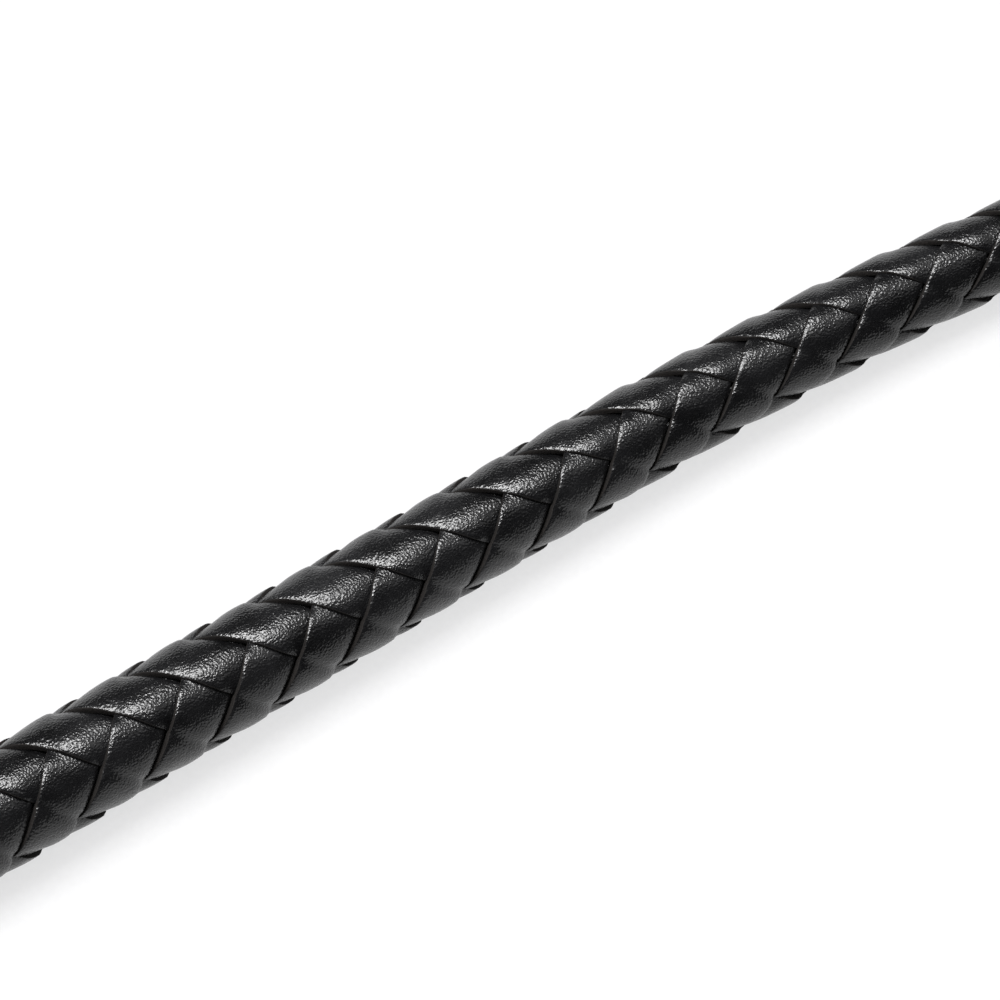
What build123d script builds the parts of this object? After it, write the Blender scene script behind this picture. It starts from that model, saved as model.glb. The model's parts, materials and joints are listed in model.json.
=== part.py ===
from build123d import *
import math
import os

# Riding crop, lying on a floor. Millimetres, +Z up, +X from the butt towards the tip.
# The origin is the centre of the underside of the whole crop's bounding box.
# "s" is the distance along the shaft's axis from the butt end of the wooden knob.

# The shaft's taper and its gentle sideways bend
BUTT_DIAMETER = 19.9
TAPER = 0.0227
BEND_START = 190.0
BEND_RADIUS = 690.0
BEND_LENGTH = 72.0
BEND_STATIONS = 6

# What each length of the shaft carries
ROD_START, ROD_END = 4.0, 554.0
BOLSTER_START, BOLSTER_END = 26.5, 553.0
BRAID_START, BRAID_END = 28.5, 551.0

# Braid: four laces each way, each over two and under two
LACES_EACH_WAY = 4
PITCH = 12.12
PITCH_CHANGE_START = 262.0
PITCH_CHANGE = 0.01477
LACE_THICKNESS = 0.075
WEAVE_HEIGHT = 0.041
WEAVE_FLATNESS = 2.0
WEAVE_SLACK = 0.001
LACE_GAP = 0.035
STEPS_PER_CROSSING = 2
LACE_SPANS = 13

# Rows of the braid, in degrees round the shaft: where they start at the butt, and each stretch
# where they drift sideways, as its start, length and drift
ROW_START = -11.0
ROW_DRIFTS = ((75.0, 50.0, 10.0), (168.0, 38.0, -21.5))

# Core rod and the filler over it
ROD_BUTT_RADIUS = 3.0
ROD_TIP_RADIUS = 1.4
BOLSTER_SHARE = 0.342
GLUE_LINE = 0.05

# Knob, Turk's heads and bindings
KNOB_LENGTH = 26.0
KNOB_RADIUS = 11.4
BUTT_KNOT_RADIUS = 14.0
BUTT_KNOT_MIDDLE = 18.0
BUTT_KNOT_LENGTH = 38.0
TIP_KNOT_RADIUS = 6.0
TIP_KNOT_MIDDLE = 552.0
TIP_KNOT_LENGTH = 17.0
KNOT_EDGE = 1.5
KNOT_LIP = 4.5
KNOB_ROOM = 0.35
BINDING_LENGTH = 6.0
BINDING_THICKNESS = 0.7
CLEARANCE = 0.05

# Butt cap and staple
CAP_RADIUS = 10.2
CAP_THICKNESS = 2.0
WIRE_RADIUS = 1.5
STAPLE_DEPTH = 9.0
STAPLE_HALF_HEIGHT = 7.2
STAPLE_CORNER = 2.0
BAR_STANDOFF = 5.4

# Wrist loop, its rivet and runner
STRAP_WIDTH = 10.0
STRAP_THICKNESS = 1.8
EYE_CLEARANCE = 0.08
LOOP_LENGTH = 140.0
LOOP_HALF_WIDTH = 30.0
LOOP_SHOULDER = 90.0
LOOP_BENDS = (30.0, 40.0, 28.0)
NECK_LENGTH = 62.0
EYE_OVERLAP = 1.9
RIVET_AT = 12.5
RIVET_RADIUS = 1.3
RIVET_HEAD_RADIUS = 2.9
RIVET_HEAD_THICKNESS = 0.9
RUNNER_AT = 21.0
RUNNER_LENGTH = 8.0
RUNNER_WALL = 1.4
RUNNER_CLEARANCE = 0.3

# Keeper: one leather flap folded double, and its stitching
KEEPER_PIVOT = 560.0
KEEPER_LENGTH = 72.0
KEEPER_WIDTH = 28.0
KEEPER_NECK_WIDTH = 6.4
KEEPER_NECK = 10.0
KEEPER_SHOULDER = 22.0
KEEPER_SHOULDER_BEND = 8.0
KEEPER_LAYERS_PART = 26.0
KEEPER_LAYER = 1.5
KEEPER_GAP = 0.2
KEEPER_CORNER = 5.0
STITCH_RADIUS = 0.4
STITCH_LENGTH = 2.6
STITCH_PITCH = 4.0
STITCHES = 10
STITCH_EDGE = 2.4
STITCH_SUNK = 0.25

# Derived: the crop rests on both knots, on the loop's far edge and on the keeper's edge
BEND_ANGLE = math.degrees(BEND_LENGTH / BEND_RADIUS)
AXIS_FALL = math.degrees(
    math.asin((BUTT_KNOT_RADIUS - TIP_KNOT_RADIUS) / (TIP_KNOT_MIDDLE - BUTT_KNOT_MIDDLE))
)
KEEPER_THICKNESS = 2 * KEEPER_LAYER + KEEPER_GAP
BAR_AT = -CAP_THICKNESS - BAR_STANDOFF
EYE_RADIUS = WIRE_RADIUS + EYE_CLEARANCE + STRAP_THICKNESS / 2
NECK_HALF = STRAP_THICKNESS / 2 + CLEARANCE


def diameter(s):
    return BUTT_DIAMETER - TAPER * s


def axis_in_plan(s):
    """The axis seen from above: x, y and heading in degrees."""
    if s <= BEND_START:
        return s, 0.0, 0.0
    turned = math.radians(min((s - BEND_START) / BEND_LENGTH, 1.0) * BEND_ANGLE)
    x = BEND_START + BEND_RADIUS * math.sin(turned)
    y = -BEND_RADIUS * (1 - math.cos(turned))
    straight = max(s - BEND_START - BEND_LENGTH, 0.0)
    x += straight * math.cos(turned)
    y -= straight * math.sin(turned)
    return x, y, -math.degrees(turned)


def station(s):
    """The frame at s: X along the axis, Y across it, Z up."""
    x, y, heading = axis_in_plan(s)
    lift = Pos(-BUTT_KNOT_MIDDLE, 0, BUTT_KNOT_RADIUS) * Rot(0, AXIS_FALL, 0)
    return lift * Pos(x - BUTT_KNOT_MIDDLE, y, 0) * Rot(0, 0, heading)


def height(s):
    return station(s).position.Z


def axis_loft(start, end, radius):
    """A round tapered bar along the axis, straight between stations; radius is a function of s."""
    bend = [BEND_START + BEND_LENGTH * k / BEND_STATIONS for k in range(BEND_STATIONS + 1)]
    stations = [start] + [s for s in bend if start < s < end] + [end]
    circles = [station(s) * Rot(0, 90, 0) * Circle(radius(s)) for s in stations]
    return loft(circles, ruled=True)


def turned(profile, s):
    """Revolves a closed outline of x, radius points about the axis at s."""
    return station(s) * revolve(make_face(profile), axis=Axis.X)


def rod_radius(s):
    share = (s - ROD_START) / (ROD_END - ROD_START)
    return ROD_BUTT_RADIUS + (ROD_TIP_RADIUS - ROD_BUTT_RADIUS) * share


def bore_radius(s):
    return rod_radius(s) + GLUE_LINE


def bolster_radius(s):
    return BOLSTER_SHARE * diameter(s)


def core_rod():
    return axis_loft(ROD_START, ROD_END, rod_radius)


def bolster():
    outside = axis_loft(BOLSTER_START, BOLSTER_END, bolster_radius)
    bore = axis_loft(ROD_START, ROD_END, bore_radius)
    return outside - bore


def braid_s(level):
    """Distance along the shaft of a braid level; the pitch shortens towards the tip."""
    change = PITCH_CHANGE_START / PITCH
    if level <= change:
        return level * PITCH
    fall = 1 - math.exp(-PITCH_CHANGE * (level - change))
    return PITCH_CHANGE_START + PITCH / PITCH_CHANGE * fall


def braid_level(s):
    if s <= PITCH_CHANGE_START:
        return s / PITCH
    shrink = 1 - PITCH_CHANGE * (s - PITCH_CHANGE_START) / PITCH
    return PITCH_CHANGE_START / PITCH - math.log(shrink) / PITCH_CHANGE


def ease(share):
    """Smooth step from 0 to 1."""
    share = min(max(share, 0.0), 1.0)
    return share * share * (3 - 2 * share)


def braid_angle(p, q, s):
    """Angle about the axis, in degrees from straight up towards -Y."""
    drift = sum(turn * ease((s - start) / length) for start, length, turn in ROW_DRIFTS)
    return 180 / LACES_EACH_WAY * (q - p) + ROW_START + drift


def wave(turns):
    """Smooth over-and-under wave: 1 in the middle of an over, -1 in the middle of an under."""
    swing = math.cos(math.pi * turns / 2)
    return math.tanh(WEAVE_FLATNESS * swing) / math.tanh(WEAVE_FLATNESS)


def braid_point(p, q, raised):
    """A point of the braid; raised is its height over the weave's middle, in diameters."""
    s = braid_s((p + q) / 2)
    middle = BOLSTER_SHARE + LACE_THICKNESS / 2 + WEAVE_HEIGHT + WEAVE_SLACK
    radius = (middle + raised) * diameter(s)
    angle = math.radians(braid_angle(p, q, s))
    offset = Pos(0, -radius * math.sin(angle), radius * math.cos(angle))
    return (station(s) * offset).position


def lace(number, right_hand):
    """One lace as a closed band of ruled strips between six rails."""
    first = 2 * braid_level(BRAID_START) - number
    crossings = round(2 * (braid_level(BRAID_END) - braid_level(BRAID_START))) - 1
    steps = crossings * STEPS_PER_CROSSING
    runs = [first + 1 + k / STEPS_PER_CROSSING for k in range(steps + 1)]
    half = LACE_THICKNESS / 2
    rails = []
    for side, across in ((1, LACE_GAP), (1, 0.5), (1, 1 - LACE_GAP),
                         (-1, 1 - LACE_GAP), (-1, 0.5), (-1, LACE_GAP)):
        points = []
        for run in runs:
            if right_hand:
                raised = WEAVE_HEIGHT * wave(run - number)
                points.append(braid_point(number + across, run, raised + side * half))
            else:
                raised = WEAVE_HEIGHT * wave(run - number + 1)
                points.append(braid_point(run, number + across, raised + side * half))
        rails.append(Edge.make_spline(points, parameters=runs))
    strips = []
    for k in range(LACE_SPANS):
        spans = [rail.trim(k / LACE_SPANS, (k + 1) / LACE_SPANS) for rail in rails]
        strips += [Face.make_surface_from_curves(spans[n], spans[(n + 1) % 6]) for n in range(6)]
    for end in (0, 1):
        rungs = [Edge.make_line(rails[k] @ end, rails[5 - k] @ end) for k in range(3)]
        strips += [Face.make_surface_from_curves(rungs[k], rungs[k + 1]) for k in range(2)]
    return Solid(Shell(strips))


def knob_core(staple):
    """Wooden knob with the rod's blind bore and the staple's two holes."""
    face = (0, CAP_RADIUS)
    neck = (KNOB_LENGTH, bolster_radius(KNOB_LENGTH))
    outline = Spline(face, (KNOB_LENGTH / 2, KNOB_RADIUS), neck)
    base = Polyline(neck, (KNOB_LENGTH, 0), (0, 0), face)
    bore = axis_loft(ROD_START - GLUE_LINE, KNOB_LENGTH + 1, bore_radius)
    return turned(outline + base, 0) - bore - staple


def binding(start):
    """Thread wound tightly over the lace ends, as one sleeve."""
    bed = diameter(start) / 2 + CLEARANCE
    outside = bed + BINDING_THICKNESS
    corners = [(0, bed), (BINDING_LENGTH, bed), (BINDING_LENGTH, outside), (0, outside)]
    return turned(Polyline(*corners, close=True), start)


def knot(middle, length, radius, inside):
    """A Turk's head as a hollow barrel; inside is its cavity's outline, butt side first."""
    edge = min(inside[0][1], inside[-1][1]) + KNOT_EDGE
    outside = ThreePointArc((-length / 2, edge), (0, radius), (length / 2, edge))
    return turned(outside + Polyline(outside @ 1, *inside[::-1], outside @ 0), middle)


def butt_knot():
    half = BUTT_KNOT_LENGTH / 2
    room = KNOB_RADIUS + KNOB_ROOM
    mouth = diameter(BRAID_START) / 2 + CLEARANCE
    bound = BRAID_START + BINDING_LENGTH + CLEARANCE - BUTT_KNOT_MIDDLE
    inside = [
        (-half, CAP_RADIUS + KNOB_ROOM),
        (KNOT_LIP - half, room),
        (half - KNOT_LIP, room),
        (bound, mouth + BINDING_THICKNESS + CLEARANCE),
        (bound, mouth),
        (half, mouth),
    ]
    return knot(BUTT_KNOT_MIDDLE, BUTT_KNOT_LENGTH, BUTT_KNOT_RADIUS, inside)


def tip_knot():
    half = TIP_KNOT_LENGTH / 2
    mouth = diameter(TIP_KNOT_MIDDLE - half) / 2 + CLEARANCE
    room = mouth + BINDING_THICKNESS + CLEARANCE
    bound = BRAID_END - BINDING_LENGTH - CLEARANCE - TIP_KNOT_MIDDLE
    inside = [(-half, mouth), (bound, mouth), (bound, room), (half, room)]
    return knot(TIP_KNOT_MIDDLE, TIP_KNOT_LENGTH, TIP_KNOT_RADIUS, inside)


def butt_cap(staple):
    disc = Pos(-CAP_THICKNESS / 2, 0, 0) * Rot(0, 90, 0) * Cylinder(CAP_RADIUS, CAP_THICKNESS)
    return station(0) * fillet(disc.edges().group_by(Axis.X)[0], CAP_THICKNESS / 3) - staple


def droop(above, reach, half):
    """How far a flat piece hangs down until its far end rests on the floor."""
    return math.degrees(math.asin(above / math.hypot(reach, half)) - math.atan(half / reach))


def loop_place():
    """The frame of the staple's bar: the loop leaves it along -X and slopes to the floor."""
    slope = droop(height(BAR_AT), LOOP_LENGTH, STRAP_WIDTH / 2)
    return Pos(*station(BAR_AT).position) * Rot(0, -slope, 0)


def loop_staple():
    leg = STAPLE_DEPTH - BAR_AT
    top, bottom = STAPLE_HALF_HEIGHT, -STAPLE_HALF_HEIGHT
    path = FilletPolyline(
        (leg, 0, top), (0, 0, top), (0, 0, bottom), (leg, 0, bottom), radius=STAPLE_CORNER
    )
    section = Plane(path @ 0, z_dir=path % 0) * Circle(WIRE_RADIUS)
    return loop_place() * sweep(section, path)


def half_strap():
    """One half of the loop's strap, from the eye to the middle of the far end."""
    far = STRAP_THICKNESS / 2 - LOOP_LENGTH
    path = FilletPolyline(
        (-EYE_OVERLAP, NECK_HALF),
        (-NECK_LENGTH, NECK_HALF),
        (-LOOP_SHOULDER, LOOP_HALF_WIDTH),
        (far, LOOP_HALF_WIDTH),
        (far, 0),
        radius=list(LOOP_BENDS),
    )
    section = Plane(path @ 0, x_dir=(0, 0, 1), z_dir=path % 0)
    return sweep(section * Rectangle(STRAP_WIDTH, STRAP_THICKNESS), path)


def wrist_loop(rivet):
    inner = WIRE_RADIUS + EYE_CLEARANCE
    half = half_strap()
    strap = half + mirror(half, Plane.XZ) + Cylinder(inner + STRAP_THICKNESS, STRAP_WIDTH)
    strap -= Cylinder(inner, 2 * STRAP_WIDTH)
    return loop_place() * strap - rivet


def loop_rivet():
    shank = Cylinder(RIVET_RADIUS, 2 * (NECK_HALF + STRAP_THICKNESS / 2))
    rivet = shank
    for side in (1, -1):
        out = NECK_HALF + (STRAP_THICKNESS + RIVET_HEAD_THICKNESS) / 2
        rivet += Pos(0, 0, side * out) * Cylinder(RIVET_HEAD_RADIUS, RIVET_HEAD_THICKNESS)
    return loop_place() * Pos(-RIVET_AT, 0, 0) * Rot(90, 0, 0) * rivet


def loop_runner():
    deep = 2 * (NECK_HALF + STRAP_THICKNESS / 2 + RUNNER_CLEARANCE)
    wide = STRAP_WIDTH + 2 * RUNNER_CLEARANCE
    body = Box(RUNNER_LENGTH, deep + 2 * RUNNER_WALL, wide + 2 * RUNNER_WALL)
    body = fillet(body.edges().filter_by(Axis.X), RUNNER_WALL)
    return loop_place() * Pos(-RUNNER_AT, 0, 0) * (body - Box(2 * RUNNER_LENGTH, deep, wide))


def keeper_place():
    """The frame of the keeper's flex line, at the mouth of the tip knot."""
    half = KEEPER_THICKNESS / 2
    place = station(KEEPER_PIVOT)
    hang = droop(place.position.Z - half, KEEPER_LENGTH - half, 0)
    return Pos(*place.position) * Rot(0, 0, -BEND_ANGLE) * Rot(0, hang, 0)


def keeper():
    """The leather flap: a narrow neck, square shoulders, and its fold at the far end."""
    half, neck = KEEPER_WIDTH / 2, KEEPER_NECK_WIDTH / 2
    thickness = KEEPER_THICKNESS
    upper = [(KEEPER_NECK, neck), (KEEPER_SHOULDER, half), (KEEPER_LENGTH, half)]
    lower = [(x, -y) for x, y in reversed(upper)]
    bends = [KEEPER_SHOULDER_BEND, KEEPER_SHOULDER_BEND, KEEPER_CORNER]
    edge = FilletPolyline(
        (-thickness, neck), *upper, *lower, (-thickness, -neck), radius=bends + bends[::-1]
    )
    outline = make_face(edge + Line(edge @ 1, edge @ 0))
    flap = extrude(outline, thickness, both=True)
    fold = KEEPER_LENGTH - thickness / 2
    side = Pos(fold / 2, 0, 0) * SlotCenterToCenter(fold, thickness)
    opening = fold - KEEPER_LAYERS_PART
    side -= Pos(KEEPER_LAYERS_PART + opening / 2, 0, 0) * SlotCenterToCenter(opening, KEEPER_GAP)
    side = extrude(Rot(90, 0, 0) * side, KEEPER_WIDTH, both=True)
    return keeper_place() * (flap & side)


def stitch():
    """One stitch: thread lying on both faces and passing through the leather."""
    face = KEEPER_THICKNESS / 2 - STITCH_SUNK
    thread = Cylinder(STITCH_RADIUS, 2 * face)
    for side in (1, -1):
        lying = Rot(0, 90, 0) * Cylinder(STITCH_RADIUS, STITCH_LENGTH)
        thread += Pos(STITCH_LENGTH / 2, 0, side * face) * lying
    return thread


def keeper_stitches():
    one = stitch()
    rows = []
    for side in (1, -1):
        for k in range(STITCHES):
            at = Pos(KEEPER_LAYERS_PART + k * STITCH_PITCH, side * (KEEPER_WIDTH / 2 - STITCH_EDGE))
            rows += (keeper_place() * at * one).solids()
    return Compound(children=rows)


def crop_pieces():
    """Every separate piece of the crop, by name, standing on the floor."""
    staple = loop_staple()
    rivet = loop_rivet()
    pieces = {
        "core_rod": core_rod(),
        "bolster": bolster(),
        "butt_binding": binding(BRAID_START),
        "knob_core": knob_core(staple),
        "butt_knot": butt_knot(),
        "butt_cap": butt_cap(staple),
        "loop_staple": staple,
        "wrist_loop": wrist_loop(rivet),
        "loop_rivet": rivet,
        "loop_runner": loop_runner(),
        "tip_binding": binding(BRAID_END - BINDING_LENGTH),
        "tip_knot": tip_knot(),
        "keeper": keeper(),
        "keeper_stitches": keeper_stitches(),
    }
    for number in range(LACES_EACH_WAY):
        pieces[f"lace_{number + 1}"] = lace(number, True)
        pieces[f"lace_{number + 1 + LACES_EACH_WAY}"] = lace(number, False)
    return pieces


def export_pieces():
    os.makedirs("parts", exist_ok=True)
    pieces = crop_pieces()
    box = Compound(children=[piece.solids()[0] for piece in pieces.values()]).bounding_box()
    middle = Pos(-box.center().X, -box.center().Y, 0)
    for name, piece in pieces.items():
        export_step(middle * piece, f"parts/{name}.step")


export_pieces()
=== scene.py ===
import json
import math

import bmesh
import bpy
import numpy as np
from mathutils import Matrix, Vector


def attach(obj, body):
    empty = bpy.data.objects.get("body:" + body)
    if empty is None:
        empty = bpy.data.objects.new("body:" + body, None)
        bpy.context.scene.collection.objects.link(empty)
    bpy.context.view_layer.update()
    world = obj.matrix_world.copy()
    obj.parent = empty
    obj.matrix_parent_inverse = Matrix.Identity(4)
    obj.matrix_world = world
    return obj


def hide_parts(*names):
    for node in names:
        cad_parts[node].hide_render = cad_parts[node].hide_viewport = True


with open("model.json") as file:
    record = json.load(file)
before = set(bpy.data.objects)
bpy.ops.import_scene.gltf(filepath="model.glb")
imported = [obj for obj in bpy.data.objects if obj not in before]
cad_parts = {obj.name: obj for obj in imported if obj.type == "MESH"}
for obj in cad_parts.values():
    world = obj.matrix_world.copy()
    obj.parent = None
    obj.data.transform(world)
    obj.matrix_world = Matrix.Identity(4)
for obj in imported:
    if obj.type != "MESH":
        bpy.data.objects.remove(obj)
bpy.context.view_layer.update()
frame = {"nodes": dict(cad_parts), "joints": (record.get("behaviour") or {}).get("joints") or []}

# A braided riding crop. The laces, the knots, the wrist loop, its rivet and runner, and the keeper
# are drawn here in place of their CAD solids. The other pieces are the CAD's own, in a new material.

# Lengths are in metres, and the sizes are the CAD model's. "s" is the distance along the shaft's
# axis from the butt end of the knob. A "share" of the braid is in shaft diameters, its rows are in
# degrees round the shaft, and a drift is its start, length and turn.
MM = 0.001
TINY = 1e-9
LACES_EACH_WAY = 4
BUTT_DIAMETER = 19.9 * MM
TAPER = 0.0227
BEND_START = 190 * MM
BEND_RADIUS = 690 * MM
BEND_LENGTH = 72 * MM
BRAID_START, BRAID_END = 28.5 * MM, 551 * MM
PITCH = 12.12 * MM
PITCH_CHANGE_START = 262 * MM
PITCH_CHANGE = 0.01477
BOLSTER_SHARE = 0.342
LACE_THICKNESS = 0.075
WEAVE_HEIGHT = 0.041
WEAVE_SLACK = 0.001
ROW_START = -11.0
ROW_DRIFTS = ((75 * MM, 50 * MM, 10), (168 * MM, 38 * MM, -21.5))
BAR_AT = -7.4 * MM
BUTT_KNOT_MIDDLE, BUTT_KNOT_LENGTH, BUTT_KNOT_RADIUS = 18 * MM, 38 * MM, 14 * MM
TIP_KNOT_MIDDLE, TIP_KNOT_LENGTH, TIP_KNOT_RADIUS = 552 * MM, 17 * MM, 6 * MM
AXIS_FALL = math.asin((BUTT_KNOT_RADIUS - TIP_KNOT_RADIUS) / (TIP_KNOT_MIDDLE - BUTT_KNOT_MIDDLE))


def joint(name):
    """The frame's record of one joint."""
    return next(j for j in frame["joints"] if j["name"] == name)


# The middle of the staple's bar, on which the wrist loop swings
BAR = np.array(joint("wrist_loop_swing")["pos_m"])


# ---------------------------------------------------------------- the shaft's axis

def diameter(s):
    """The braid's diameter at distance s."""
    return BUTT_DIAMETER - TAPER * s


def axis_frame(s):
    """Origin and X, Y, Z directions of the shaft's axis at distances s, as arrays of rows."""
    s = np.asarray(s, float)
    turned = np.clip((s - BEND_START) / BEND_LENGTH, 0, 1) * (BEND_LENGTH / BEND_RADIUS)
    straight = np.maximum(s - BEND_START - BEND_LENGTH, 0)
    x = np.minimum(s, BEND_START) + BEND_RADIUS * np.sin(turned) + straight * np.cos(turned)
    y = -BEND_RADIUS * (1 - np.cos(turned)) - straight * np.sin(turned)
    zero = np.zeros_like(s)
    origin = np.stack([x - BAR_AT, y, zero], -1)
    ahead = np.stack([np.cos(turned), -np.sin(turned), zero], -1)
    across = np.stack([np.sin(turned), np.cos(turned), zero], -1)
    up = np.stack([zero, zero, zero + 1], -1)
    c, f = math.cos(AXIS_FALL), math.sin(AXIS_FALL)
    fall = np.array([[c, 0, f], [0, 1, 0], [-f, 0, c]])
    return origin @ fall.T + BAR, ahead @ fall.T, across @ fall.T, up @ fall.T


def on_shaft(s, angle, radius):
    """Points at distance s along the axis, at an angle from straight up towards -Y, in radians."""
    origin, _, across, up = axis_frame(s)
    sine, cosine = np.sin(angle)[..., None], np.cos(angle)[..., None]
    return origin + np.asarray(radius)[..., None] * (up * cosine - across * sine)


# ---------------------------------------------------------------- mesh helpers

def new_object(name, points, faces, materials, face_materials=None, body=None):
    """A smooth-shaded mesh in the scene, with its faces turned outwards, that rides on a body."""
    mesh = bpy.data.meshes.new(name)
    mesh.from_pydata([tuple(p) for p in points], [], [tuple(f) for f in faces])
    for material in materials:
        mesh.materials.append(material)
    if face_materials is not None:
        mesh.polygons.foreach_set("material_index", face_materials)
    mesh.polygons.foreach_set("use_smooth", [True] * len(mesh.polygons))
    mesh.validate()
    shell = bmesh.new()
    shell.from_mesh(mesh)
    bmesh.ops.recalc_face_normals(shell, faces=shell.faces)
    shell.to_mesh(mesh)
    shell.free()
    made = bpy.data.objects.new(name, mesh)
    bpy.context.scene.collection.objects.link(made)
    if body:
        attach(made, body)
    return made


def tube_faces(rows, columns, closed=False):
    """Quads of a grid whose columns wrap round; the ends are capped unless the rows wrap too."""
    faces = []
    for r in range(rows if closed else rows - 1):
        for c in range(columns):
            a, b = r * columns + c, r * columns + (c + 1) % columns
            low = (r + 1) % rows * columns
            faces.append((a, b, low + (c + 1) % columns, low + c))
    if not closed:
        faces.append(tuple(range(columns))[::-1])
        faces.append(tuple((rows - 1) * columns + c for c in range(columns)))
    return faces


# ---------------------------------------------------------------- materials

class Nodes:
    """A small helper that adds nodes to one material."""

    def __init__(self, name):
        self.material = bpy.data.materials.new(name)
        self.material.use_nodes = True
        self.tree = self.material.node_tree
        self.shader = self.tree.nodes["Principled BSDF"]

    def add(self, kind, values=(), **settings):
        node = self.tree.nodes.new(kind)
        for key, value in settings.items():
            setattr(node, key, value)
        for key, value in dict(values).items():
            if isinstance(value, bpy.types.NodeSocket):
                self.tree.links.new(value, node.inputs[key])
            else:
                node.inputs[key].default_value = value
        return node

    def link(self, output, key):
        self.tree.links.new(output, self.shader.inputs[key])

    def set(self, **values):
        for key, value in values.items():
            self.shader.inputs[key.replace("_", " ")].default_value = value

    def math(self, operation, a, b=0.0):
        return self.add("ShaderNodeMath", {0: a, 1: b}, operation=operation).outputs[0]

    def ramp(self, fac, stops):
        node = self.add("ShaderNodeValToRGB", {0: fac})
        while len(node.color_ramp.elements) < len(stops):
            node.color_ramp.elements.new(0.5)
        for element, (at, value) in zip(node.color_ramp.elements, stops):
            element.position = at
            element.color = (*value, 1) if isinstance(value, tuple) else (value, value, value, 1)
        return node.outputs[0]


def grain(n, size):
    """Where a point is, and its pebble grain height: uneven rounded cells with creases between."""
    place = n.add("ShaderNodeTexCoord").outputs["Object"]
    wobble = n.add("ShaderNodeTexNoise", {"Vector": place, "Scale": 0.5 / size, "Detail": 2})
    shift = n.add("ShaderNodeVectorMath", {0: wobble.outputs["Color"], "Scale": 0.5 * size},
                  operation="SCALE").outputs[0]
    moved = n.add("ShaderNodeVectorMath", {0: place, 1: shift}, operation="ADD").outputs[0]
    cells = n.add("ShaderNodeTexVoronoi", {"Vector": moved, "Scale": 1 / size, "Randomness": 0.95},
                  feature="SMOOTH_F1")
    return place, n.math("SUBTRACT", 1.0, cells.outputs["Distance"])


# How leather's colour and gloss change over patches about a centimetre wide, and with its grain
PATCH_SCALE = 90.0
PATCH_DARKEST, PATCH_LIGHTEST, PATCH_HAZE = 0.55, 1.7, 0.002
ROUGH_OVERALL, ROUGH_ON_PEBBLES, ROUGH_IN_PATCHES = 0.06, -0.22, 0.16


def leather(name, color, roughness, grain_size, depth, ior):
    """Finished leather: pebble grain, faint colour variation, gloss that varies with the grain."""
    n = Nodes(name)
    place, pebbles = grain(n, grain_size)
    patches = n.add("ShaderNodeTexNoise", {"Vector": place, "Scale": PATCH_SCALE, "Detail": 3})
    patches = patches.outputs["Fac"]
    dark = tuple(c * PATCH_DARKEST for c in color)
    light = tuple(c * PATCH_LIGHTEST + PATCH_HAZE for c in color)
    n.link(n.ramp(patches, [(0.3, dark), (0.7, light)]), "Base Color")
    mixed = n.math("ADD", n.math("MULTIPLY", pebbles, ROUGH_ON_PEBBLES),
                   n.math("MULTIPLY", patches, ROUGH_IN_PATCHES))
    n.link(n.math("ADD", mixed, roughness + ROUGH_OVERALL), "Roughness")
    bump = n.add("ShaderNodeBump", {"Height": pebbles, "Distance": depth, "Strength": 1.0})
    n.link(bump.outputs[0], "Normal")
    n.set(IOR=ior)
    return n.material


def cut_edge(name, color):
    """The cut edge of the leather: brownish black, dull and fibrous."""
    n = Nodes(name)
    place = n.add("ShaderNodeTexCoord").outputs["Object"]
    fibre = n.add("ShaderNodeTexNoise", {"Vector": place, "Scale": 2600.0, "Detail": 4}).outputs["Fac"]
    dark, light = (tuple(c * share for c in color) for share in (0.5, 1.5))
    n.link(n.ramp(fibre, [(0.3, dark), (0.7, light)]), "Base Color")
    bump = n.add("ShaderNodeBump", {"Height": fibre, "Distance": 0.00012, "Strength": 1.0})
    n.link(bump.outputs[0], "Normal")
    n.set(Roughness=0.8, IOR=1.3)
    return n.material


def waxed(name, color, direction, scale):
    """Waxed linen thread: twisted plies or windings, slightly fuzzy and satin, with painted shade in the
    grooves between plies.
    """
    n = Nodes(name)
    place = n.add("ShaderNodeTexCoord").outputs["Object"]
    plies = n.add("ShaderNodeTexWave", {"Vector": place, "Scale": scale, "Distortion": 1.2, "Detail": 2},
                  bands_direction=direction).outputs["Fac"]
    fuzz = n.add("ShaderNodeTexNoise", {"Vector": place, "Scale": 5000.0, "Detail": 3}).outputs["Fac"]
    height = n.math("ADD", n.math("MULTIPLY", plies, 0.8), n.math("MULTIPLY", fuzz, 0.3))
    # Painted shade: the colour drops to half in the grooves between the plies or windings, where the
    # bump is low
    n.link(n.ramp(plies, [(0.1, tuple(c * 0.5 for c in color)), (0.9, color)]), "Base Color")
    n.link(n.add("ShaderNodeBump", {"Height": height, "Distance": 0.00015}).outputs[0], "Normal")
    n.set(Roughness=0.55, Sheen_Weight=0.25, Sheen_Roughness=0.4, IOR=1.45)
    return n.material


def nickel():
    """Nickel-plated wire: bright, with fine handling scratches and duller patches."""
    n = Nodes("nickel_steel")
    place = n.add("ShaderNodeTexCoord").outputs["Object"]
    drawn = n.add("ShaderNodeMapping", {"Vector": place, "Scale": (400, 2600, 2600)}).outputs[0]
    scratches = n.add("ShaderNodeTexNoise", {"Vector": drawn, "Scale": 1.0, "Detail": 4}).outputs["Fac"]
    patches = n.add("ShaderNodeTexNoise", {"Vector": place, "Scale": 260.0, "Detail": 3}).outputs["Fac"]
    n.link(n.ramp(patches, [(0.3, (0.5, 0.48, 0.45)), (0.7, (0.68, 0.66, 0.62))]), "Base Color")
    rough = n.math("ADD", n.math("MULTIPLY", scratches, 0.2), n.math("MULTIPLY", patches, 0.12))
    n.link(n.math("ADD", rough, 0.08), "Roughness")
    n.link(n.add("ShaderNodeBump", {"Height": scratches, "Distance": 0.00001}).outputs[0], "Normal")
    n.set(Metallic=1.0)
    return n.material


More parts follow.
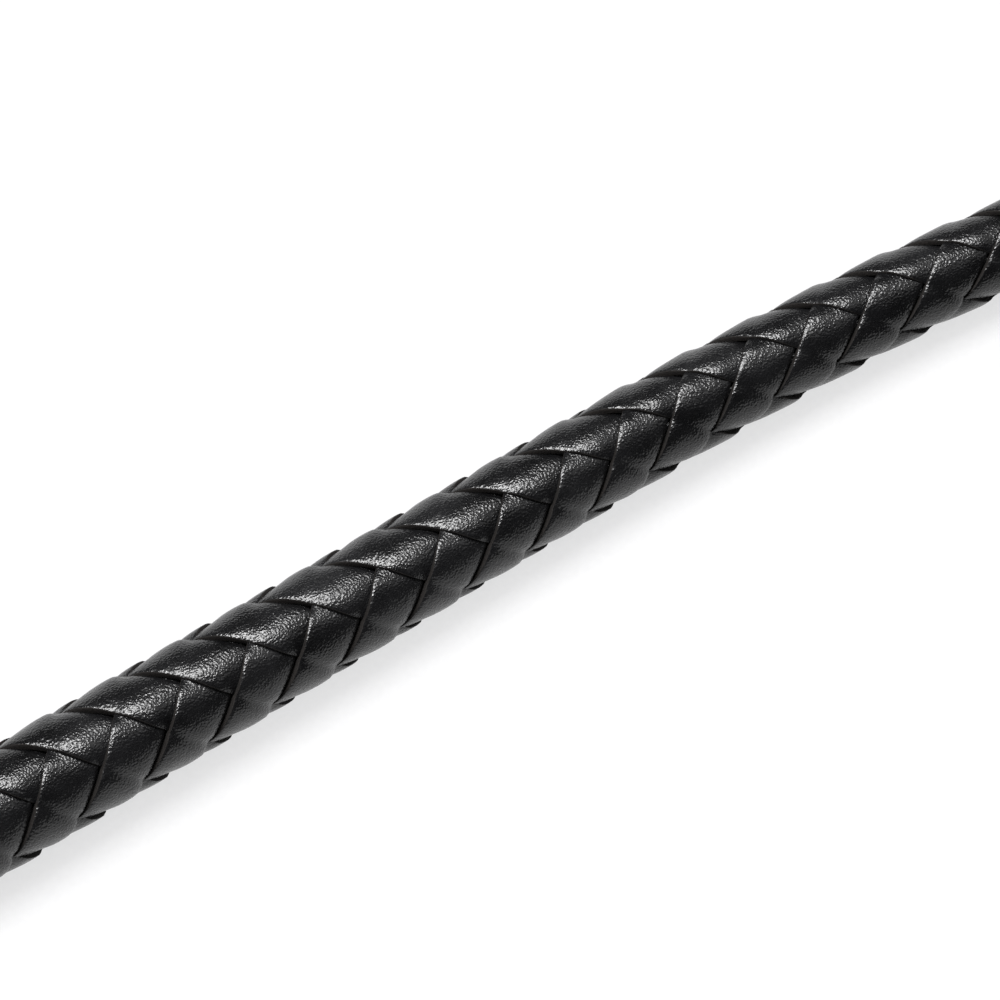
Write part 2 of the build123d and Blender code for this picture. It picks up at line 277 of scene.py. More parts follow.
def grained(name, dark, light, stretch, roughness, depth):
    """Long-grained stuff along X, such as stained wood or glass fibre; stretch squeezes the grain."""
    n = Nodes(name)
    place = n.add("ShaderNodeTexCoord").outputs["Object"]
    drawn = n.add("ShaderNodeMapping", {"Vector": place, "Scale": stretch}).outputs[0]
    lines = n.add("ShaderNodeTexNoise", {"Vector": drawn, "Scale": 1.0, "Detail": 5}).outputs["Fac"]
    n.link(n.ramp(lines, [(0.35, dark), (0.65, light)]), "Base Color")
    n.link(n.math("ADD", n.math("MULTIPLY", lines, 0.25), roughness), "Roughness")
    n.link(n.add("ShaderNodeBump", {"Height": lines, "Distance": depth}).outputs[0], "Normal")
    n.set(IOR=1.5)
    return n.material


BRAID_LEATHER = leather("braid_leather", (0.0016, 0.0016, 0.0019), roughness=0.26,
                        grain_size=0.35 * MM, depth=0.1 * MM, ior=1.45)
LACE_EDGE = cut_edge("lace_cut_edge", (0.0034, 0.0025, 0.0021))
STRAP_LEATHER = leather("strap_leather", (0.003, 0.003, 0.0034), roughness=0.46,
                        grain_size=0.4 * MM, depth=0.1 * MM, ior=1.36)
STRAP_EDGE = cut_edge("burnished_edge", (0.012, 0.008, 0.006))
FILLER_LEATHER = leather("filler_leather", (0.012, 0.009, 0.008), roughness=0.6,
                         grain_size=0.4 * MM, depth=0.08 * MM, ior=1.36)
WAXED_THREAD = waxed("waxed_thread", (0.02, 0.019, 0.02), "DIAGONAL", 900.0)
WOUND_THREAD = waxed("wound_thread", (0.02, 0.019, 0.02), "X", 500.0)
NICKEL = nickel()
GLASS_FIBRE = grained("glass_fibre", (0.5, 0.48, 0.38), (0.72, 0.7, 0.6),
                      stretch=(30, 4000, 4000), roughness=0.3, depth=0.02 * MM)
STAINED_WOOD = grained("stained_wood", (0.006, 0.004, 0.003), (0.02, 0.013, 0.009),
                       stretch=(60, 900, 900), roughness=0.5, depth=0.04 * MM)

# The CAD nodes that show as they are, each with its material
CARRIED_OVER = {
    "core_rod": GLASS_FIBRE,
    "bolster": FILLER_LEATHER,
    "knob_core": STAINED_WOOD,
    "butt_binding": WOUND_THREAD,
    "tip_binding": WOUND_THREAD,
    "loop_staple": NICKEL,
    "butt_cap": STRAP_LEATHER,
}


# ---------------------------------------------------------------- the braid

# The braid is laid out on a grid of levels p and q, one for each hand of lace, a crossing apart.
# A right-hand lace keeps its p and runs along q, and a left-hand lace the other way round.
STEPS_PER_CROSSING = 12
LACE_GAP = 0.022
OVER_FLATNESS = 1.1
BLEND_IN = 0.3

# The lace's section: how round its edges are, how far its face is domed (with DOME_LEVEL of the
# dome's height below the flat face), and how far one edge rides over its neighbour
TOP_STEPS = 14
LACE_ROUNDING = 0.014
DOME, DOME_LEVEL, DOME_POWER = 0.55, 0.1, 3
SHINGLE = 0.4

# How a left-hand lace dives late and creases at its crossings, and a right-hand lace dips to lie
# flush with its neighbour along one edge, in crossings and weave heights
LATE_DIVE = 0.2
FLUSH_DIP, FLUSH_WIDTH, FLUSH_AT = 0.3, 0.3, 1.5
CREASE_DEPTH, CREASE_WIDTH = 0.5, 0.05


def braid_s(level):
    """Distance along the axis of a level of the grid; the rows close up towards the tip."""
    change = PITCH_CHANGE_START / PITCH
    fall = 1 - np.exp(-PITCH_CHANGE * np.maximum(level - change, 0))
    return np.minimum(level, change) * PITCH + PITCH / PITCH_CHANGE * fall


def braid_level(s):
    """The level of the grid at distance s, the inverse of braid_s."""
    if s <= PITCH_CHANGE_START:
        return s / PITCH
    shrink = 1 - PITCH_CHANGE * (s - PITCH_CHANGE_START) / PITCH
    return PITCH_CHANGE_START / PITCH - math.log(shrink) / PITCH_CHANGE


def wave(x):
    """Smooth over-and-under wave, 1 at 0 and -1 at 2."""
    return np.tanh(OVER_FLATNESS * np.cos(np.pi * x / 2)) / math.tanh(OVER_FLATNESS)


def ease(x):
    """Smooth step from 0 at 0 to 1 at 1."""
    x = np.clip(x, 0, 1)
    return x * x * (3 - 2 * x)


def weave_height(p, q, number, right_hand):
    """Height of a lace's middle over the weave's middle surface, in weave heights."""
    own, other = (q, p) if right_hand else (p, q)
    crossed = np.floor(own - TINY)
    if right_hand:
        order = np.mod(crossed - number, LACES_EACH_WAY)
        mine, theirs = wave(own - number), wave(other - crossed + 1)
    else:
        order = np.mod(number - crossed, LACES_EACH_WAY)
        along = np.mod(own - number + 1, LACES_EACH_WAY)
        late = LATE_DIVE * ease(along) * ease((LACES_EACH_WAY - 1 - along) / 2)
        mine, theirs = wave(own - number + 1 - late), wave(other - crossed)
    right_over = np.where((order == 0) | (order == LACES_EACH_WAY - 1), 1.0, -1.0)
    push = right_over if right_hand else -right_over
    into = own - crossed
    return mine + (push + theirs) * ease(np.minimum(into, 1 - into) / BLEND_IN)


def lace_profile():
    """Round a lace's cross-section: share across it, height in half thicknesses, edge or not."""
    flat = 1 - 2 * LACE_ROUNDING
    top = [(LACE_ROUNDING + flat * k / TOP_STEPS, 1.0, False) for k in range(TOP_STEPS + 1)]
    corner = 1 - LACE_ROUNDING * 0.3
    right = [(corner, 0.86, True), (1.0, 0.6, True), (1.0, 0.0, True), (1.0, -0.6, True),
             (corner, -0.86, True)]
    under = [(x, -1.0, False) for x in (0.985, 0.75, 0.5, 0.25, 0.015)]
    left = [(1 - x, y, True) for x, y, _ in right[::-1]]
    return top + right + under + left


def lace(number, right_hand, name):
    """One lace of the braid, from its butt end to its tip end."""
    profile = lace_profile()
    across = np.array([x for x, _, _ in profile])
    height = np.array([y for _, y, _ in profile])
    first = 2 * braid_level(BRAID_START) - number + 1
    last = 2 * braid_level(BRAID_END) - number
    runs = np.linspace(first, last, round((last - first) * STEPS_PER_CROSSING))
    side = number + LACE_GAP + across[None, :] * (1 - 2 * LACE_GAP)
    run = runs[:, None] + 0 * side
    side = side + 0 * run
    p, q = (side, run) if right_hand else (run, side)
    s = braid_s((p + q) / 2)
    drift = sum(turn * ease((s - start) / length) for start, length, turn in ROW_DRIFTS)
    angle = 180 / LACES_EACH_WAY * (q - p) + ROW_START + drift
    middle = BOLSTER_SHARE + LACE_THICKNESS / 2 + WEAVE_HEIGHT + WEAVE_SLACK
    dome = 1 - np.abs(2 * across - 1) ** DOME_POWER
    raised = WEAVE_HEIGHT * weave_height(p, q, number, right_hand)
    along = np.mod(run - number + 1, LACES_EACH_WAY)
    if right_hand:
        dip = ease(1 - across / FLUSH_WIDTH) * ease(1 - np.abs(along - FLUSH_AT))
        raised = raised - WEAVE_HEIGHT * FLUSH_DIP * dip
    else:
        bent = np.minimum(along, LACES_EACH_WAY - along) / CREASE_WIDTH
        raised = raised - WEAVE_HEIGHT * CREASE_DEPTH * np.exp(-bent ** 2)
    section = height + DOME * (dome - DOME_LEVEL) + SHINGLE * (1 - 2 * across)
    raised = raised + LACE_THICKNESS / 2 * section
    points = on_shaft(s, np.radians(angle), (middle + raised) * diameter(s))
    rows, columns = points.shape[:2]
    faces = tube_faces(rows, columns)
    edge = [int(profile[c][2] or profile[(c + 1) % columns][2]) for c in range(columns)]
    slots = edge * (rows - 1) + [1, 1]
    made = new_object(name, points.reshape(-1, 3), faces, [BRAID_LEATHER, LACE_EDGE], slots, "shaft")
    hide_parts(name)


for lace_number in range(LACES_EACH_WAY):
    lace(lace_number, True, f"lace_{lace_number + 1}")
    lace(lace_number, False, f"lace_{lace_number + 1 + LACES_EACH_WAY}")


# ---------------------------------------------------------------- shared shapes

def unit(v):
    """Vectors scaled to length 1."""
    return v / np.linalg.norm(v, axis=-1, keepdims=True)


def filleted(corners, radii, step=1 * MM):
    """Points along a polyline in the plane whose inner corners are rounded by arcs."""
    corners = np.array(corners, float)
    path = [corners[0]]
    for before, corner, after, radius in zip(corners, corners[1:], corners[2:], radii):
        back, ahead = unit(before - corner), unit(after - corner)
        half = math.acos(np.clip(back @ ahead, -1, 1)) / 2
        centre = corner + unit(back + ahead) * radius / math.sin(half)
        first = corner + back * radius / math.tan(half)
        last = corner + ahead * radius / math.tan(half)
        start = math.atan2(*(first - centre)[::-1])
        sweep = (math.atan2(*(last - centre)[::-1]) - start + math.pi) % (2 * math.pi) - math.pi
        count = max(2, round(abs(sweep) * radius / step))
        for k in range(count + 1):
            turn = start + sweep * k / count
            path.append(centre + radius * np.array([math.cos(turn), math.sin(turn)]))
    path.append(corners[-1])
    dense = [path[0]]
    for a, b in zip(path, path[1:]):
        runs = max(1, math.ceil(np.linalg.norm(b - a) / (2 * step)))
        dense += [a + (b - a) * k / runs for k in range(1, runs + 1)]
    return np.array(dense)


def strap_section(half_width, half_thickness, edge, crease_at, crease_width, crease_depth):
    """Round a strap's section: across, through, and whether it is cut edge. Its corners are rounded
    and each face is creased along both sides."""
    inner = half_width - edge
    marks = [-inner, -crease_at - crease_width, -crease_at, -crease_at + crease_width]
    middle = [marks[-1] * k / 3 for k in (2, 1, 0, -1, -2)]
    marks = marks + middle + [-m for m in marks[::-1]]
    creased = [abs(abs(m) - crease_at) < TINY for m in marks]
    top = [(m, half_thickness - crease_depth * c, False) for m, c in zip(marks, creased)]
    turns = np.radians([25, 50, 75])
    corner = [(inner + edge * math.sin(t), half_thickness - edge * (1 - math.cos(t))) for t in turns]
    side = corner + [(half_width, 0)] + [(x, -y) for x, y in corner[::-1]]
    ring = top + [(*point, True) for point in side]
    return ring + [(-x, -y, cut) for x, y, cut in ring]


def swept(name, centre, across, normal, section, materials, body, closed=False, widths=None):
    """A band: its section carried along the points of centre, with across and normal at each.
    Where it is narrower, its edges and creases move in and keep their shape."""
    a = np.array([x for x, _, _ in section])
    t = np.array([y for _, y, _ in section])
    full = a.max()
    width = np.full((len(centre), 1), full) if widths is None else np.asarray(widths)[:, None]
    inset = (full - np.abs(a)) * np.minimum(1, width / (full / 2))
    reach = np.where(np.abs(a) > 0.7 * full, np.sign(a) * (width - inset), a / full * width)
    points = centre[:, None] + across[:, None] * reach[..., None] + normal[:, None] * t[:, None]
    count = len(section)
    cut = [int(section[c][2] or section[(c + 1) % count][2]) for c in range(count)]
    rows = len(centre) if closed else len(centre) - 1
    slots = cut * rows + ([] if closed else [1, 1])
    faces = tube_faces(len(centre), count, closed)
    return new_object(name, points.reshape(-1, 3), faces, materials, slots, body)


def in_frame(local, origin, x_axis, y_axis, z_axis):
    """Points given in a part's own axes, moved to the crop's frame."""
    local = np.asarray(local, float)
    return origin + local[..., :1] * x_axis + local[..., 1:2] * y_axis + local[..., 2:] * z_axis


def threads(ends, radius, bow, sides=8, steps=8):
    """Points and faces of many short bowed threads, each between two ends along a normal."""
    points, faces = [], []
    for start, end, normal in ends:
        other = np.cross(unit(end - start), normal)
        base = len(points)
        for k in range(steps + 1):
            share = k / steps
            thin = math.sqrt(max(0.0, 1 - (2 * share - 1) ** 6)) + 0.05
            middle = start + (end - start) * share + normal * bow * math.sin(math.pi * share)
            for c in range(sides):
                turn = 2 * math.pi * c / sides
                out = math.cos(turn) * other + math.sin(turn) * normal
                points.append(middle + out * radius * thin)
        faces += [tuple(base + i for i in face) for face in tube_faces(steps + 1, sides)]
    return points, faces


# ---------------------------------------------------------------- Turk's head knots

# A knot of 5 leads and 4 bights, and how its lace lies, in lace widths and thicknesses
KNOT_LEADS, KNOT_BIGHTS = 5, 4
KNOT_STEPS = 560
KNOT_FLATNESS = 3
PASS_SPACING = 1.04
KNOT_ROUNDING, KNOT_DOME, KNOT_SUNK = 0.32, 0.1, 0.6
KNOT_END_ROOM = 0.1 * MM


def knot_wave(u):
    """Over and under along a Turk's head strand: it swaps between crossings, also round a bight."""
    nearest = np.round(u / np.pi)
    off = (u - np.pi * nearest) * KNOT_LEADS / np.pi
    crossing = np.tanh(KNOT_FLATNESS * np.cos(KNOT_LEADS * u)) / math.tanh(KNOT_FLATNESS)
    return np.where(np.abs(off) < 1, -np.sin(np.pi * off / 2), crossing * np.sign(np.sin(u)))


def turks_head(name, middle, length, radius, edge_radius, passes, width, thickness, lift):
    """A woven knot of parallel passes, filling the barrel of its CAD node."""
    spacing = width * PASS_SPACING
    half = width / 2
    reach = length / 2 - spacing * (passes - 1) / 2 - half - KNOT_END_ROOM
    drop = radius - edge_radius
    arc = ((length / 2) ** 2 + drop ** 2) / (2 * drop)
    t = np.linspace(0, 2 * np.pi, KNOT_STEPS, endpoint=False)
    u = KNOT_BIGHTS * t
    slope_x, slope_r = -reach * KNOT_BIGHTS * np.sin(u), radius * KNOT_LEADS
    size = np.hypot(slope_x, slope_r)
    side_x, side_r = slope_r / size, -slope_x / size
    section = strap_section(half, thickness / 2, edge=thickness * KNOT_ROUNDING,
                            crease_at=half * 0.6, crease_width=half * 0.05, crease_depth=0)
    a = np.array([x for x, _, _ in section])
    h = np.array([y for _, y, _ in section]) + thickness * KNOT_DOME * (1 - (a / half) ** 2)
    count = len(section)
    cut = [int(section[c][2] and section[(c + 1) % count][2]) for c in range(count)]
    points, faces, slots = [], [], []
    for strand in range(passes):
        shift = (strand - (passes - 1) / 2) * spacing
        at_x = reach * np.cos(u)[:, None] + side_x[:, None] * (shift + a)
        barrel = radius - arc + np.sqrt(arc ** 2 - at_x ** 2)
        level = barrel - thickness * KNOT_SUNK - lift + lift * knot_wave(u)[:, None] + h
        angle = KNOT_LEADS * t[:, None] + side_r[:, None] * (shift + a) / barrel
        base = len(points)
        points += list(on_shaft(middle + at_x, angle, level).reshape(-1, 3))
        faces += [tuple(base + i for i in face) for face in tube_faces(len(t), count, True)]
        slots += cut * len(t)
    made = new_object(name, points, faces, [BRAID_LEATHER, LACE_EDGE], slots, "shaft")
    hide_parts(name)


turks_head("butt_knot", BUTT_KNOT_MIDDLE, BUTT_KNOT_LENGTH, BUTT_KNOT_RADIUS,
           edge_radius=11.18 * MM, passes=3, width=3.75 * MM, thickness=1 * MM, lift=0.45 * MM)
turks_head("tip_knot", TIP_KNOT_MIDDLE, TIP_KNOT_LENGTH, TIP_KNOT_RADIUS,
           edge_radius=5.33 * MM, passes=2, width=2.5 * MM, thickness=0.7 * MM, lift=0.33 * MM)


# ---------------------------------------------------------------- wrist loop and its runner

# The loop in its own plane, with the bar at 0 and the far end LOOP_LENGTH behind it
LOOP_LENGTH, LOOP_HALF_WIDTH = 140 * MM, 30 * MM
LOOP_SHOULDER, NECK_LENGTH = 90 * MM, 62 * MM
LOOP_BENDS = (28 * MM, 40 * MM, 30 * MM, 3.5 * MM)
STRAP_WIDTH, STRAP_THICKNESS = 10 * MM, 1.8 * MM
EYE_RADIUS = 2.48 * MM
NECK_HALF = 0.95 * MM
EYE_JOIN = math.radians(130)
RIVET_AT, RIVET_HEAD, RIVET_SHANK = 12.5 * MM, 2.9 * MM, 1.3 * MM
RIVET_DOME, RIVET_RIM, RIVET_POLE, RIVET_SIDES = 0.9 * MM, 0.3 * MM, 0.001 * MM, 32
RUNNER_AT, RUNNER_LENGTH, RUNNER_WALL, RUNNER_ROOM = 21 * MM, 8 * MM, 1.4 * MM, 0.3 * MM
RUNNER_CORNER, RUNNER_STEP, RUNNER_INSET = 1.2 * MM, 0.3 * MM, 0.05 * MM
SEAM_START, SEAM_PITCH, SEAM_STITCHES = 28 * MM, 2.6 * MM, 7
SEAM_ROW, SEAM_LENGTH = 3 * MM, 2 * MM
THREAD = 0.4 * MM
STITCH_SLANT = 0.25 * MM

LOOP_UP = np.array(joint("wrist_loop_swing")["axis"])
LOOP_SIDE = np.array([0.0, 1.0, 0.0])
LOOP_AHEAD = np.cross(LOOP_SIDE, LOOP_UP)


def loop_place(local):
    """Points given in the loop's own axes, moved to the crop's frame."""
    return in_frame(local, BAR, LOOP_AHEAD, LOOP_SIDE, LOOP_UP)


def loop_centreline():
    """Once round the strap, in the loop's plane: the far end, a neck layer, the bar and back."""
    far = STRAP_THICKNESS / 2 - LOOP_LENGTH
    join = EYE_RADIUS * np.array([math.cos(EYE_JOIN), math.sin(EYE_JOIN)])
    corner = (join[0] + (join[1] - NECK_HALF) * math.tan(EYE_JOIN), NECK_HALF)
    corners = [(far, 0), (far, LOOP_HALF_WIDTH), (-LOOP_SHOULDER, LOOP_HALF_WIDTH),
               (-NECK_LENGTH, NECK_HALF), corner, tuple(join)]
    half = filleted(corners, LOOP_BENDS)
    turns = np.linspace(EYE_JOIN, 0, 16)[1:]
    half = np.concatenate([half, EYE_RADIUS * np.stack([np.cos(turns), np.sin(turns)], -1)])
    return np.concatenate([half, half[-2:0:-1] * (1, -1)])


def plane_normals(path):
    """Left-hand normals of a closed path in the plane."""
    ahead = unit(np.roll(path, -1, 0) - np.roll(path, 1, 0))
    return np.stack([-ahead[:, 1], ahead[:, 0]], -1)


def wrist_loop():
    """The flat strap, folded round the bar, with a pressed crease along each side."""
    path = loop_centreline()
    flat = np.zeros((len(path), 1))
    centre = loop_place(np.hstack([path, flat]))
    normal = loop_place(np.hstack([plane_normals(path), flat])) - BAR
    across = np.tile(LOOP_UP, (len(path), 1))
    section = strap_section(STRAP_WIDTH / 2, STRAP_THICKNESS / 2, edge=0.5 * MM,
                            crease_at=3.9 * MM, crease_width=0.3 * MM, crease_depth=0.16 * MM)
    made = swept("wrist_loop", centre, across, normal, section, [STRAP_LEATHER, STRAP_EDGE],
                 "loop", closed=True)
    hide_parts("wrist_loop")


def seam():
    """Two rows of stitches through both layers of the neck, next to the runner."""
    ends = []
    face = NECK_HALF + STRAP_THICKNESS / 2 - THREAD * 0.65
    for layer in (1, -1):
        for row in (1, -1):
            for k in range(SEAM_STITCHES):
                x = -SEAM_START - k * SEAM_PITCH
                spots = [(x, layer * face, row * SEAM_ROW),
                         (x - SEAM_LENGTH, layer * face, row * (SEAM_ROW + STITCH_SLANT))]
                ends.append((*loop_place(spots), LOOP_SIDE * layer))
    points, faces = threads(ends, THREAD * 0.8, THREAD * 0.2)
    new_object("wrist_loop_seam", points, faces, [WAXED_THREAD], body="loop")


def rivet():
    """Two domed heads on a shank, turned about the rivet's axis."""
    reach = NECK_HALF + STRAP_THICKNESS / 2
    half = [(RIVET_POLE, 0.0), (RIVET_SHANK, 0.0), (RIVET_SHANK, reach), (RIVET_HEAD - RIVET_RIM, reach)]
    half.append((RIVET_HEAD, reach + RIVET_RIM))
    for turn in np.linspace(0, np.pi / 2, 12)[2:-1]:
        rise = RIVET_RIM + (RIVET_DOME - RIVET_RIM) * math.sin(turn)
        half.append((RIVET_HEAD * math.cos(turn), reach + rise))
    half.append((RIVET_POLE, reach + RIVET_DOME))
    outline = [(x, -y) for x, y in half[:0:-1]] + half[1:]
    turns = 2 * np.pi * np.arange(RIVET_SIDES) / RIVET_SIDES
    radius, out = np.array(outline).T
    x = radius[:, None] * np.cos(turns) - RIVET_AT
    local = np.stack([x, out[:, None] + 0 * x, radius[:, None] * np.sin(turns)], -1)
    faces = tube_faces(len(outline), RIVET_SIDES)
    made = new_object("loop_rivet", loop_place(local).reshape(-1, 3), faces, [NICKEL], body="loop")
    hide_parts("loop_rivet")


def runner():
    """A narrow leather band closed round the neck's two layers."""
    wide = STRAP_WIDTH / 2 + RUNNER_ROOM + RUNNER_WALL / 2
    deep = NECK_HALF + STRAP_THICKNESS / 2 + RUNNER_ROOM + RUNNER_WALL / 2
    corners = [(0, deep), (wide, deep), (wide, -deep), (-wide, -deep), (-wide, deep), (0, deep)]
    path = filleted(corners, [RUNNER_CORNER] * 4, RUNNER_STEP)[:-1]
    side = plane_normals(path)
    at = np.full((len(path), 1), -RUNNER_AT)
    centre = loop_place(np.hstack([at, path[:, 1:], path[:, :1]]))
    normal = loop_place(np.hstack([0 * at, side[:, 1:], side[:, :1]])) - BAR
    across = np.tile(LOOP_AHEAD, (len(path), 1))
    section = strap_section(RUNNER_LENGTH / 2, RUNNER_WALL / 2 - RUNNER_INSET, edge=0.4 * MM,
                            crease_at=3.1 * MM, crease_width=0.25 * MM, crease_depth=0.12 * MM)
    made = swept("loop_runner", centre, across, normal, section, [STRAP_LEATHER, STRAP_EDGE],
                 "runner", closed=True)
    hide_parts("loop_runner")


# ---------------------------------------------------------------- keeper

# Distances are from the flex line; the root behind it is narrow, to turn inside the tip knot
KEEPER_LENGTH, KEEPER_HALF = 72 * MM, 14 * MM
KEEPER_ROOT, KEEPER_ROOT_HALF = 2.4 * MM, 2.2 * MM
KEEPER_NECK_HALF, KEEPER_NECK, KEEPER_SHOULDER = 2.9 * MM, 10 * MM, 22 * MM
KEEPER_LAYER, KEEPER_GAP, LAYERS_PART = 1.5 * MM, 0.2 * MM, 26 * MM
KEEPER_SHOULDER_BEND, KEEPER_CORNER = 8 * MM, 5 * MM
KEEPER_CREASE_IN, KEEPER_STEPS, FOLD_STEPS = 1.2 * MM, 64, 13
TOUCHING = 0.005 * MM
STITCH_PITCH, STITCH_LENGTH, STITCHES, STITCH_EDGE = 4 * MM, 2.6 * MM, 10, 2.4 * MM
STITCH_SUNK = 0.18 * MM

KEEPER_PIVOT = np.array(joint("keeper_flex")["pos_m"])
KEEPER_ACROSS = np.array(joint("keeper_flex")["axis"])
KEEPER_HALF_THICKNESS = KEEPER_LAYER + KEEPER_GAP / 2
KEEPER_FOLD = KEEPER_LENGTH - KEEPER_HALF_THICKNESS
KEEPER_HANG = math.asin((KEEPER_PIVOT[2] - KEEPER_HALF_THICKNESS) / KEEPER_FOLD)
KEEPER_LEVEL = np.array([KEEPER_ACROSS[1], -KEEPER_ACROSS[0], 0])
KEEPER_AHEAD = KEEPER_LEVEL * math.cos(KEEPER_HANG) - np.array([0, 0, math.sin(KEEPER_HANG)])
KEEPER_UP = np.cross(KEEPER_AHEAD, KEEPER_ACROSS)


def keeper_place(local):
    """Points given in the keeper's own axes, moved to the crop's frame."""
    return in_frame(local, KEEPER_PIVOT, KEEPER_AHEAD, KEEPER_ACROSS, KEEPER_UP)


def keeper_half_width(x):
    """Half the flap's width at distances x: root, neck, shoulders and rounded far corners."""
    corners = [(-KEEPER_ROOT, KEEPER_ROOT_HALF), (0, KEEPER_NECK_HALF), (KEEPER_NECK, KEEPER_NECK_HALF),
               (KEEPER_SHOULDER, KEEPER_HALF), (KEEPER_LENGTH, KEEPER_HALF), (KEEPER_LENGTH, 0)]
    bends = [KEEPER_ROOT, KEEPER_SHOULDER_BEND, KEEPER_SHOULDER_BEND, KEEPER_CORNER]
    edge = filleted(corners, bends, 0.5 * MM)
    last = np.argmax(edge[:, 0] > KEEPER_LENGTH - TINY)
    return np.interp(x, edge[:last + 1, 0], edge[:last + 1, 1])


def keeper():
    """One piece of leather doubled back at the far end; its two layers part past the neck."""
    run = np.linspace(-KEEPER_ROOT, KEEPER_FOLD, KEEPER_STEPS)
    parted = ease((run - LAYERS_PART) / LAYERS_PART + 0.25)
    level = KEEPER_LAYER / 2 + TOUCHING + (KEEPER_GAP / 2 - TOUCHING) * parted
    turns = np.linspace(-np.pi / 2, np.pi / 2, FOLD_STEPS)[1:-1]
    bend = np.stack([KEEPER_FOLD + level[-1] * np.cos(turns), level[-1] * np.sin(turns)], -1)
    path = np.concatenate([np.stack([run, -level], -1), bend, np.stack([run, level], -1)[::-1]])
    ahead = unit(np.gradient(path, axis=0))
    zero = np.zeros(len(path))
    centre = keeper_place(np.stack([path[:, 0], zero, path[:, 1]], -1))
    normal = keeper_place(np.stack([ahead[:, 1], zero, -ahead[:, 0]], -1)) - KEEPER_PIVOT
    across = np.tile(KEEPER_ACROSS, (len(path), 1))
    section = strap_section(KEEPER_HALF, KEEPER_LAYER / 2, edge=0.4 * MM,
                            crease_at=KEEPER_HALF - KEEPER_CREASE_IN,
                            crease_width=0.25 * MM, crease_depth=0.12 * MM)
    widths = keeper_half_width(path[:, 0] + level[-1] * (path[:, 0] > KEEPER_FOLD))
    made = swept("keeper", centre, across, normal, section, [STRAP_LEATHER, STRAP_EDGE],
                 "keeper_flap", widths=widths)
    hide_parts("keeper")


def keeper_stitches():
    """A row of stitches along each side of the flap, on both faces."""
    ends = []
    sunk = KEEPER_HALF_THICKNESS - STITCH_SUNK
    for face in (1, -1):
        for row in (1, -1):
            for k in range(STITCHES):
                x, y = LAYERS_PART + k * STITCH_PITCH, row * (KEEPER_HALF - STITCH_EDGE)
                spots = [(x, y, face * sunk), (x + STITCH_LENGTH, y + STITCH_SLANT, face * sunk)]
                ends.append((*keeper_place(spots), KEEPER_UP * face))
    points, faces = threads(ends, THREAD * 0.85, THREAD * 0.5)
    made = new_object("keeper_stitches", points, faces, [WAXED_THREAD], body="keeper_flap")
    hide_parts("keeper_stitches")


wrist_loop()
seam()
rivet()
runner()
keeper()
keeper_stitches()
for node, material in CARRIED_OVER.items():
    for place in frame["nodes"][node].material_slots:
        place.material = material


# ---------------------------------------------------------------- floor, light and camera

# The camera looks LOOK_ABOVE over the point LOOK_AT along the shaft, where the picture is
# VIEW_WIDTH wide
VIEW_ELEVATION = math.radians(67)
VIEW_TURN = math.radians(-32.85)
VIEW_DISTANCE = 1.2
VIEW_WIDTH = 0.1613
LOOK_AT = 169.3 * MM
LOOK_ABOVE = 2.45 * MM
SENSOR_WIDTH = 36

# The shaft's slope in the picture, which the lights line up with, and each light's angle from the
# camera's line or rise square to the shaft, its distance, its length and width, and its power
SHAFT_LEAN = math.radians(30.6)
KEY_ANGLE, KEY_DISTANCE, KEY_SIZE, KEY_POWER = math.radians(37), 1.3, (1.8, 0.3), 66
FILL_ANGLE, FILL_DISTANCE, FILL_SIZE, FILL_POWER = math.radians(58), 1.5, (1.2, 1.2), 3.4
FILL_RISE = 0.25
SHADE_RISE, SHADE_DISTANCE, SHADE_SIZE, SHADE_POWER = 0.5, 1.5, (1.6, 0.6), 5.8
WASH_DISTANCE, WASH_SIZE, WASH_POWER = 2.0, (3.0, 3.0), 62
WORLD_STRENGTH = 0.04
TABLE_HALF = 4.0


def camera():
    """The camera at the photograph's angle; returns what it looks at and the picture's axes."""
    right = Vector((math.cos(VIEW_TURN), math.sin(VIEW_TURN), 0))
    away = Vector((-right.y, right.x, 0))
    back = Vector((0, 0, math.sin(VIEW_ELEVATION))) - away * math.cos(VIEW_ELEVATION)
    above = back.cross(right)
    target = Vector(axis_frame(LOOK_AT)[0]) + above * LOOK_ABOVE
    data = bpy.data.cameras.new("camera")
    data.sensor_width = SENSOR_WIDTH
    data.lens = data.sensor_width * VIEW_DISTANCE / VIEW_WIDTH
    made = bpy.data.objects.new("camera", data)
    bpy.context.scene.collection.objects.link(made)
    made.location = target + back * VIEW_DISTANCE
    made.rotation_euler = (-back).to_track_quat("-Z", "Y").to_euler()
    bpy.context.scene.camera = made
    return target, right, above, back


def area_light(name, target, direction, along, distance, size, power):
    """A softbox towards which direction points, its long side lined up with along."""
    data = bpy.data.lights.new(name, "AREA")
    data.shape = "RECTANGLE"
    data.size, data.size_y = size
    data.energy = power
    made = bpy.data.objects.new(name, data)
    bpy.context.scene.collection.objects.link(made)
    z = direction.normalized()
    y = z.cross(along).normalized()
    made.rotation_euler = Matrix((y.cross(z), y, z)).transposed().to_euler()
    made.location = target + z * distance
    return made


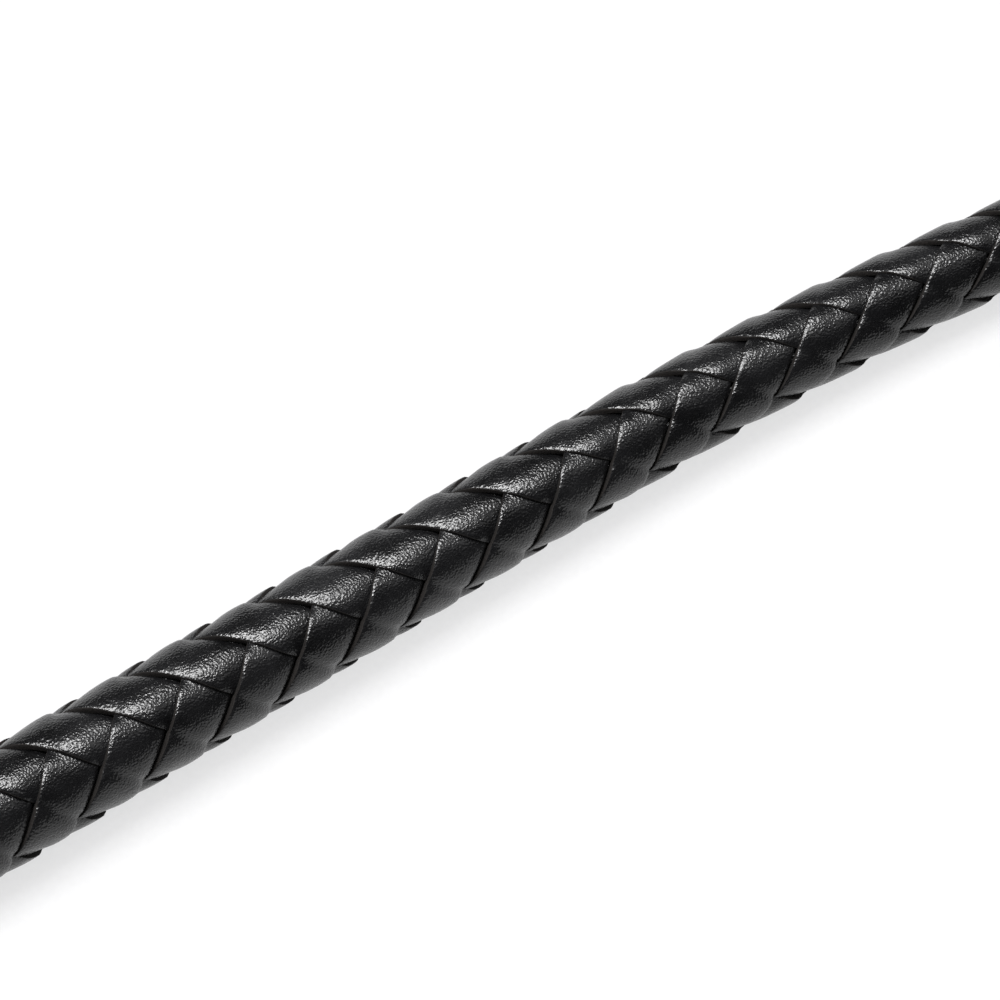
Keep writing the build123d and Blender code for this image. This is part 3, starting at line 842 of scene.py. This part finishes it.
def floor():
    """A plain pale table, with the faint tooth of paper."""
    n = Nodes("pale_floor")
    place = n.add("ShaderNodeTexCoord").outputs["Object"]
    paper = n.add("ShaderNodeTexNoise", {"Vector": place, "Scale": 900.0, "Detail": 2}).outputs["Fac"]
    n.link(n.ramp(paper, [(0.3, (0.92, 0.92, 0.925)), (0.7, (0.94, 0.94, 0.945))]), "Base Color")
    n.set(Roughness=0.9)
    corners = [(x * TABLE_HALF, y * TABLE_HALF, 0) for x, y in ((-1, -1), (1, -1), (1, 1), (-1, 1))]
    made = new_object("floor", corners, [(0, 1, 2, 3)], [n.material])
    return made


def lit_only(light, objects):
    """Keeps a light's beam to these objects."""
    lit = bpy.data.collections.new(light.name + "_lights")
    for each in objects:
        lit.objects.link(each)
    light.light_linking.receiver_collection = lit


def studio(table, target, right, above, back):
    """A long softbox over the crop, weak ones at both ends, and a white table lit on its own,
    by a light that casts the crop's shadow and a wash that doesn't."""
    pieces = [each for each in bpy.data.objects if each.type == "MESH" and each != table]
    along = right * math.cos(SHAFT_LEAN) + above * math.sin(SHAFT_LEAN)
    square = above * math.cos(SHAFT_LEAN) - right * math.sin(SHAFT_LEAN)
    toward = back * math.cos(KEY_ANGLE) + square * math.sin(KEY_ANGLE)
    key = area_light("key", target, toward, along, KEY_DISTANCE, KEY_SIZE, KEY_POWER)
    lit_only(key, pieces)
    for name, way in (("fill_right", 1), ("fill_left", -1)):
        toward = back * math.cos(FILL_ANGLE) + along * (way * math.sin(FILL_ANGLE))
        toward += square * FILL_RISE
        fill = area_light(name, target, toward, square, FILL_DISTANCE, FILL_SIZE, FILL_POWER)
        lit_only(fill, pieces)
    toward = back + square * SHADE_RISE
    shade = area_light("table_shade", target, toward, along, SHADE_DISTANCE, SHADE_SIZE, SHADE_POWER)
    lit_only(shade, [table])
    overhead = Vector((0, 0, 1))
    wash = area_light("table_wash", target, overhead, right, WASH_DISTANCE, WASH_SIZE, WASH_POWER)
    lit_only(wash, [table])
    wash.light_linking.blocker_collection = wash.light_linking.receiver_collection
    world = bpy.data.worlds.new("studio")
    bpy.context.scene.world = world
    world.use_nodes = True
    background = world.node_tree.nodes["Background"].inputs
    background["Color"].default_value = (1, 1, 1, 1)
    background["Strength"].default_value = WORLD_STRENGTH
    bpy.context.scene.view_settings.view_transform = "Standard"


studio(floor(), *camera())
